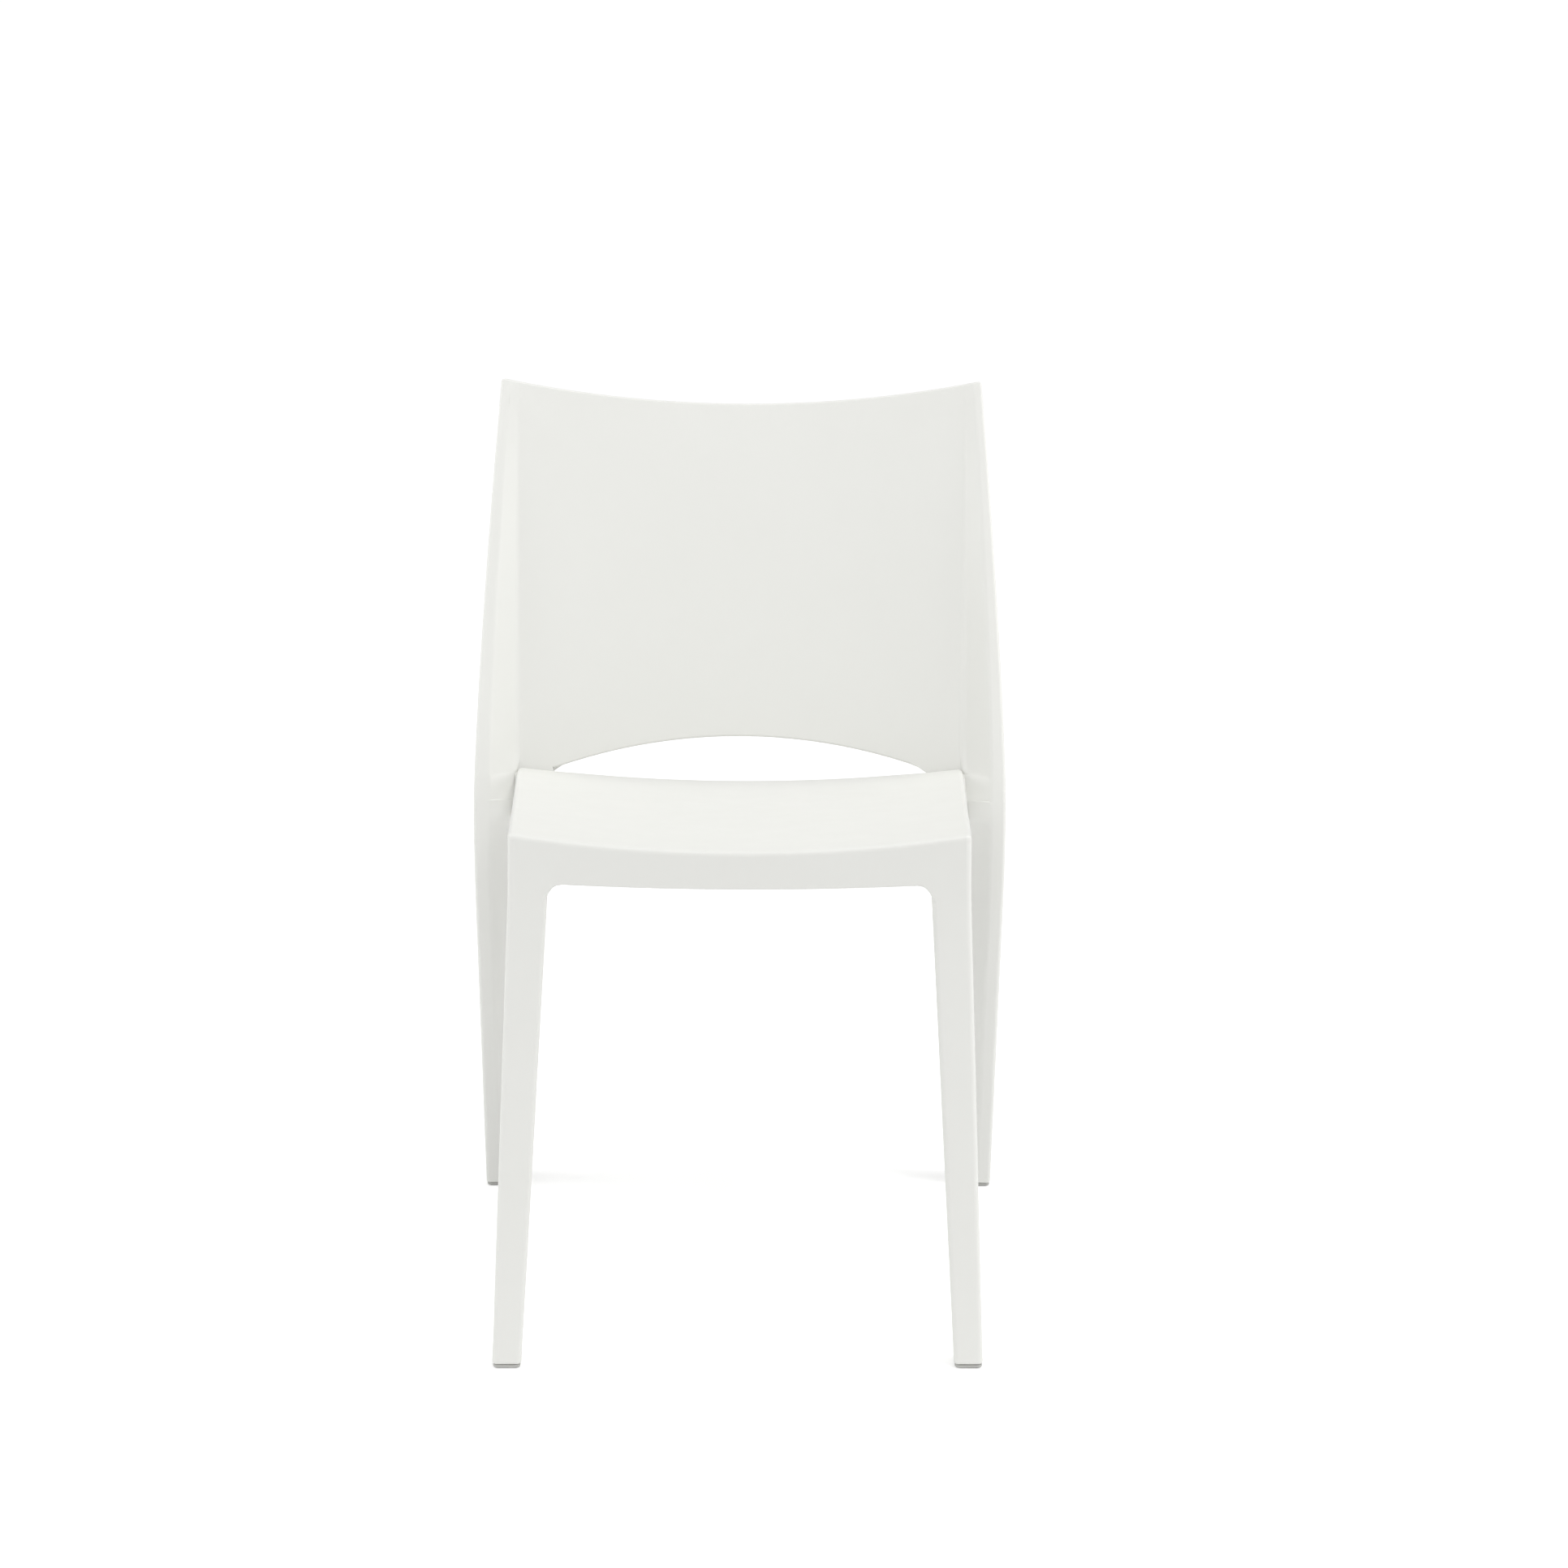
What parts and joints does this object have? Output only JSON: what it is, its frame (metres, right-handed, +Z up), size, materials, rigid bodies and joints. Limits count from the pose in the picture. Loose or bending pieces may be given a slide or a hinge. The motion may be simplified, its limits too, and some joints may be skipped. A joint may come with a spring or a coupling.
{
  "type": "stacking chair",
  "caption": "Armless stacking side chair in white moulded plastic, with a dished seat, a curved back panel, a lens-shaped hand opening and splayed tapered legs.",
  "frame": {"origin": "on the floor, under the middle of the chair's outline", "axes": "+X across the chair to the sitter's left, +Y towards the back, +Z up; the sitter faces -Y"},
  "size_m": [0.5154, 0.524, 0.8148],
  "materials": {
    "shell_plastic": "white polypropylene with a fine satin grain",
    "glide_plastic": "pale grey, worn flat on the sole",
    "buffer_rubber": "pale grey soft rubber",
    "screw_steel": "zinc plated",
    "insert_brass": "turned brass",
    "cap_plastic": "white, satin"
  },
  "bodies": {
    "root": {"back_frame": "shell_plastic", "seat_frame": "shell_plastic", "front_left_glide": "glide_plastic", "front_right_glide": "glide_plastic", "rear_left_glide": "glide_plastic", "rear_right_glide": "glide_plastic", "front_left_stacking_buffer": "buffer_rubber", "front_right_stacking_buffer": "buffer_rubber", "rear_left_stacking_buffer": "buffer_rubber", "rear_right_stacking_buffer": "buffer_rubber", "seat_screws": "screw_steel", "screw_washers": "screw_steel", "threaded_inserts": "insert_brass", "screw_caps": "cap_plastic"}
  },
  "joints": []
}
